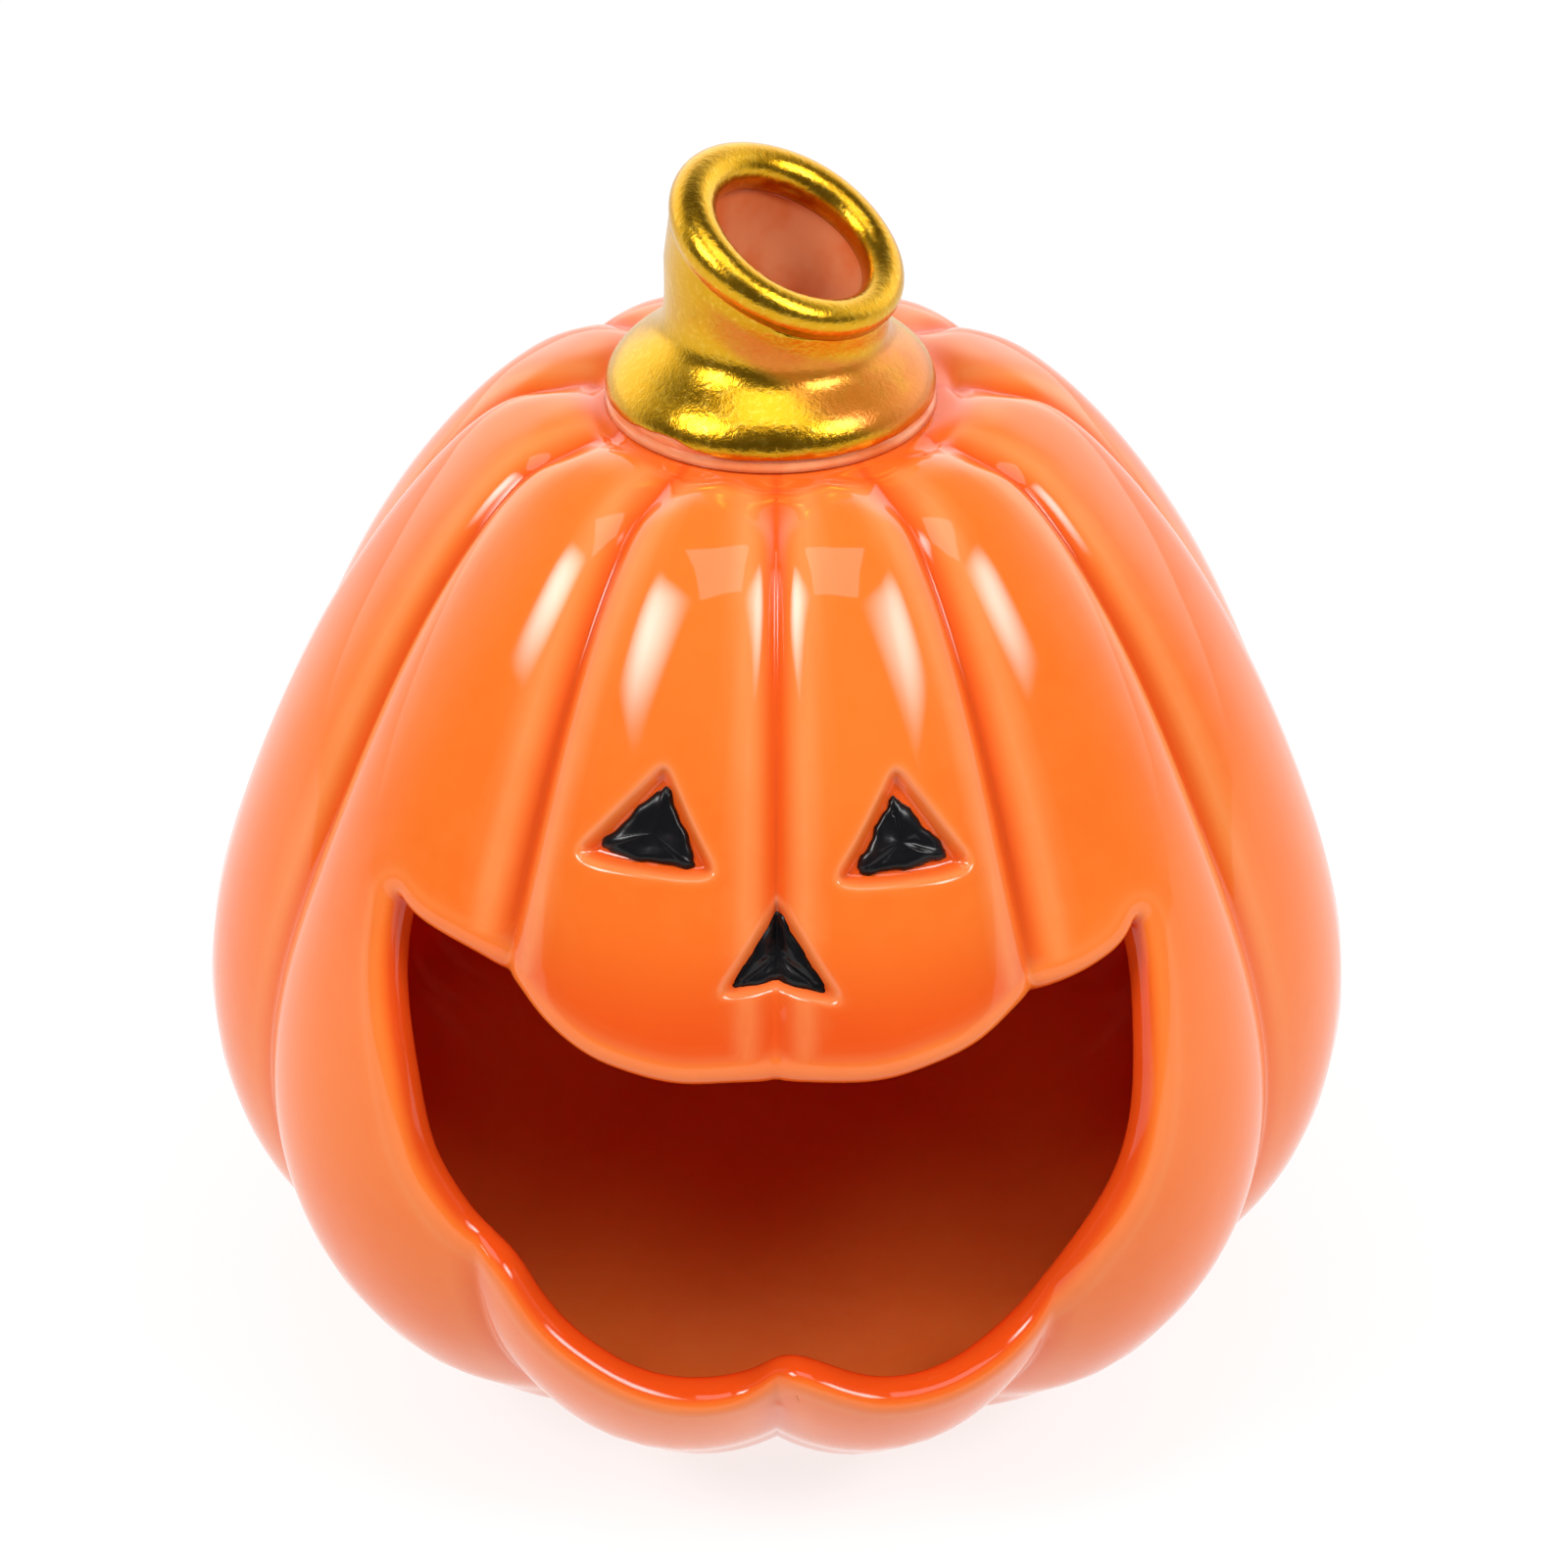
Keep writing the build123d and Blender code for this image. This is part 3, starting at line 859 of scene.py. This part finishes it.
def orange_glaze():
    material, nodes = finish_tree("orange_glaze")
    place = nodes.add("ShaderNodeTexCoord").outputs["Object"]
    z = parts_of(nodes, place)[2]
    pooled = nodes.value("ShaderNodeAttribute", "Fac", {"attribute_name": "pooled"})
    thin_and_painted_light = nodes.value("ShaderNodeAttribute", "Fac", {"attribute_name": "thin_and_painted_light"})

    broad = noise(nodes, place, 26.0, 2.0)
    fine = noise(nodes, place, 240.0, 3.0, 0.6)
    glaze = blend(nodes, broad.ramp(0.3, 0.7), (0.89, 0.185, 0.022, 1), (0.86, 0.155, 0.016, 1))
    glaze = blend(nodes, fine.ramp(0.35, 0.75) * 0.25, glaze, (0.92, 0.22, 0.035, 1))
    # Deeper where glaze pools in the grooves and round the stem, and painted shade over the rim, the inside
    # and the band round the upper lip.
    glaze = blend(nodes, (pooled + (fine - 0.5) * 0.3) * 0.8, glaze, (0.77, 0.072, 0.007, 1))
    # Paler where glaze thins on the shoulders, and painted light: highlights on the rim and pocket edges, a
    # reflection on the rib ends, and a pool of light on the inside floor.
    glaze = blend(nodes, thin_and_painted_light * (0.55 + fine * 0.3) * 0.62, glaze, (0.93, 0.37, 0.13, 1))

    # Over the inside the glaze is painted deeper and redder: painted shade.
    glaze = blend(nodes, pooled.ramp(RIM_PAINTED_SHADE, INSIDE_PAINTED_SHADE), glaze, (0.95, 0.060, 0.005, 1))

    # Pinholes and a few dark specks in the glaze.
    cells = nodes.add("ShaderNodeTexVoronoi", None, {"Vector": place, "Scale": 150.0})
    chosen = nodes.value("ShaderNodeSeparateXYZ", 0, None, {0: cells.outputs["Color"]})
    speck = Value(nodes, cells.outputs["Distance"]).ramp(0.030, 0.016) * chosen.ramp(0.90, 0.91)
    glaze = blend(nodes, speck * 0.75, glaze, (0.22, 0.035, 0.01, 1))

    # The ring that the pumpkin stands on is wiped clean of glaze.
    bare = z.ramp(0.0006, 0.0003) * (fine * 0.3 + 0.85)
    clay = blend(nodes, fine, (0.66, 0.52, 0.40, 1), (0.78, 0.66, 0.54, 1))
    colour = blend(nodes, bare, glaze, clay)

    waves = noise(nodes, place, 95.0, 1.0)
    peel = noise(nodes, place, 900.0, 1.0)
    return surface(material, nodes, {
        "Base Color": colour, "Roughness": bare * 0.55 + fine * 0.06 + 0.22, "Coat Weight": 1 - bare,
        "Normal": bumped(nodes, 0.35, 0.0002, waves + peel * 0.05 - speck * 0.6),
        "Specular IOR Level": 0.0, "Coat Roughness": 0.05, "Coat IOR": 1.46})


def stem_glaze():
    material, nodes = finish_tree("stem_glaze")
    place = nodes.add("ShaderNodeTexCoord").outputs["Object"]
    z = parts_of(nodes, place)[2]
    cloud = noise(nodes, place, 130.0, 3.0, 0.55)
    fine = noise(nodes, place, 520.0, 2.0)
    colour = blend(nodes, cloud.ramp(0.35, 0.65), (0.82, 0.20, 0.05, 1), (0.90, 0.37, 0.17, 1))
    # Darker and redder towards the top of the bore: painted shade.
    colour = blend(nodes, z.ramp(0.117, 0.124) * 0.35, colour, (0.72, 0.08, 0.012, 1))
    return surface(material, nodes, {
        "Base Color": colour, "Roughness": fine * 0.1 + 0.25,
        "Normal": bumped(nodes, 0.5, 0.0003, cloud + fine * 0.15),
        "Specular IOR Level": 0.3, "Coat Weight": 1.0, "Coat Roughness": 0.08})


def gold_lustre():
    material, nodes = finish_tree("gold_lustre")
    place = nodes.add("ShaderNodeTexCoord").outputs["Object"]
    x, y, z = parts_of(nodes, place)
    lean = Vector(LIP_AXIS).normalized()
    mx, my, mz = (v * MM for v in LIP_MIDDLE)
    above = (x - mx) * lean.x + (y - my) * lean.y + (z - mz) * lean.z

    grain = noise(nodes, place, 1500.0, 3.0, 0.7)
    brushed = noise(nodes, place, 240.0, 4.0, 0.62)
    cloud = noise(nodes, place, 90.0, 2.0)
    gold = blend(nodes, cloud.ramp(0.3, 0.7), (0.74, 0.40, 0.018, 1), (0.62, 0.31, 0.011, 1))
    gold = blend(nodes, grain.ramp(0.45, 0.8) * 0.5, gold, (0.88, 0.60, 0.09, 1))
    gold = blend(nodes, brushed.ramp(0.55, 0.8) * 0.35, gold, (0.45, 0.26, 0.025, 1))

    # The gold is rubbed thin in the groove under the lip, on the front and the right.
    groove = above.ramp(-0.0064, -0.0050) * above.ramp(-0.0022, -0.0034)
    facing = (x * 0.75 - y * 0.75).ramp(0.0005, 0.0065)
    rubbed = groove * facing * (brushed * 1.5 + 0.15).low(1.0)
    from_middle = ((x - mx) ** 2.0 + (y - my) ** 2.0).math("SQRT")
    inner = from_middle.ramp(0.0082, 0.0072) * above.ramp(-0.0002, -0.0012)
    worn = rubbed.high(inner * 0.75)
    colour = blend(nodes, worn * 0.85, gold, (0.66, 0.17, 0.012, 1))
    return surface(material, nodes, {
        "Base Color": colour, "Metallic": 1 - worn * 0.55, "Roughness": grain * 0.14 + 0.17,
        "Normal": bumped(nodes, 0.55, 0.00009, grain + brushed * 0.9)})


def black_enamel():
    material, nodes = finish_tree("black_enamel")
    place = nodes.add("ShaderNodeTexCoord").outputs["Object"]
    cloud = noise(nodes, place, 330.0, 2.0)
    fine = noise(nodes, place, 1400.0, 2.0)
    colour = blend(nodes, cloud.ramp(0.6, 0.85) * 0.6, (0.005, 0.005, 0.006, 1), (0.045, 0.012, 0.008, 1))
    return surface(material, nodes, {
        "Base Color": colour, "Roughness": fine * 0.15 + 0.22,
        "Normal": bumped(nodes, 0.35, 0.0003, cloud + fine * 0.05),
        "Specular IOR Level": 0.12, "Coat Weight": 0.3, "Coat Roughness": 0.1})


def pale_floor_finish():
    material, nodes = finish_tree("pale_floor")
    return surface(material, nodes, {
        "Base Color": (0.22, 0.22, 0.22, 1), "Roughness": 0.9, "Specular IOR Level": 0.0,
        "Emission Color": (1, 1, 1, 1), "Emission Strength": 0.80})


# ---- the pieces ---------------------------------------------------------------------
orange = orange_glaze()
gold = gold_lustre()
black = black_enamel()
wall_rule = shell_tree()

body = wrap("pumpkin_shell", body_pattern(), wall_rule, orange)
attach(body, "root")
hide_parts("pumpkin_body")

stem = stem_piece(stem_glaze())
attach(stem, "root")
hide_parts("stem")

gilding = gold_piece(gold)
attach(gilding, "root")
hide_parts("stem_gilding")

for feature_name, feature in EYES_AND_NOSE.items():
    paint = wrap(feature_name + "_enamel", paint_pattern(feature), wall_rule, black)
    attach(paint, "root")
    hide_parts(feature_name + "_paint")

# ---- floor, light and camera --------------------------------------------------------
floor_mesh = bpy.data.meshes.new("floor")
floor_corners = [(-4, -4, -0.0002), (4, -4, -0.0002), (4, 4, -0.0002), (-4, 4, -0.0002)]
floor_mesh.from_pydata(floor_corners, [], [(0, 1, 2, 3)])
floor_mesh.materials.append(pale_floor_finish())
floor = bpy.data.objects.new("floor", floor_mesh)
bpy.context.scene.collection.objects.link(floor)

TARGET = Vector((0, 0, 0.0618))

# A softbox that fades to its edges gives about as much light as an even one with this.
MIDDLE_GAIN = 2.4


def soft_light(name, azimuth, elevation, away, width, height, power, fading):
    """A softbox aimed at the pumpkin; a fading one is brightest in its middle."""
    a, e = radians(azimuth), radians(elevation)
    toward = Vector((sin(a) * cos(e), -cos(a) * cos(e), sin(e)))
    light = bpy.data.lights.new(name, "AREA")
    light.shape, light.size, light.size_y, light.energy = "RECTANGLE", width, height, power
    if fading:
        light.use_nodes = True
        light.node_tree.nodes.clear()
        cloth = Nodes(light.node_tree)
        across, up, _ = parts_of(cloth, cloth.add("ShaderNodeNewGeometry").outputs["Parametric"])
        glow = (across * pi).sine() * (up * pi).sine() * MIDDLE_GAIN
        shine = cloth.add("ShaderNodeEmission", None, {"Strength": glow})
        cloth.add("ShaderNodeOutputLight", None, {"Surface": shine.outputs[0]})
    lamp = bpy.data.objects.new(name, light)
    lamp.location = TARGET + toward * away
    lamp.rotation_euler = toward.to_track_quat("Z", "Y").to_euler()
    bpy.context.scene.collection.objects.link(lamp)


soft_light("left_softbox", -54, 45, 1.1, 0.50, 0.54, 6.9, True)
soft_light("right_softbox", 59, 44, 1.1, 0.58, 0.54, 6.6, True)
soft_light("top_softbox", 4, 78, 1.2, 0.75, 0.70, 4.2, False)

world = bpy.data.worlds.new("studio")
bpy.context.scene.world = world
world.use_nodes = True
world.node_tree.nodes.clear()
sky = Nodes(world.node_tree)
_, behind, above = parts_of(sky, sky.add("ShaderNodeTexCoord").outputs["Generated"])
glow = behind.ramp(-0.2, 0.6) * above.ramp(0.85, 0.4) * 1.6 + 0.09
sky.add("ShaderNodeOutputWorld", None, {
    "Surface": sky.add("ShaderNodeBackground", None, {"Color": (1, 1, 1, 1), "Strength": glow}).outputs[0]})

bpy.context.scene.view_settings.view_transform = "Standard"

azimuth, elevation, away = radians(1.05), radians(33.15), 0.408
back = Vector((sin(azimuth) * cos(elevation), -cos(azimuth) * cos(elevation), sin(elevation)))
right = Vector((cos(azimuth), sin(azimuth), 0))
camera_data = bpy.data.cameras.new("camera")
camera_data.lens, camera_data.sensor_width = 89.8, 36.0
camera = bpy.data.objects.new("camera", camera_data)
camera.location = TARGET + back * away + right * 0.0007
camera.rotation_euler = back.to_track_quat("Z", "Y").to_euler()
bpy.context.scene.collection.objects.link(camera)
bpy.context.scene.camera = camera
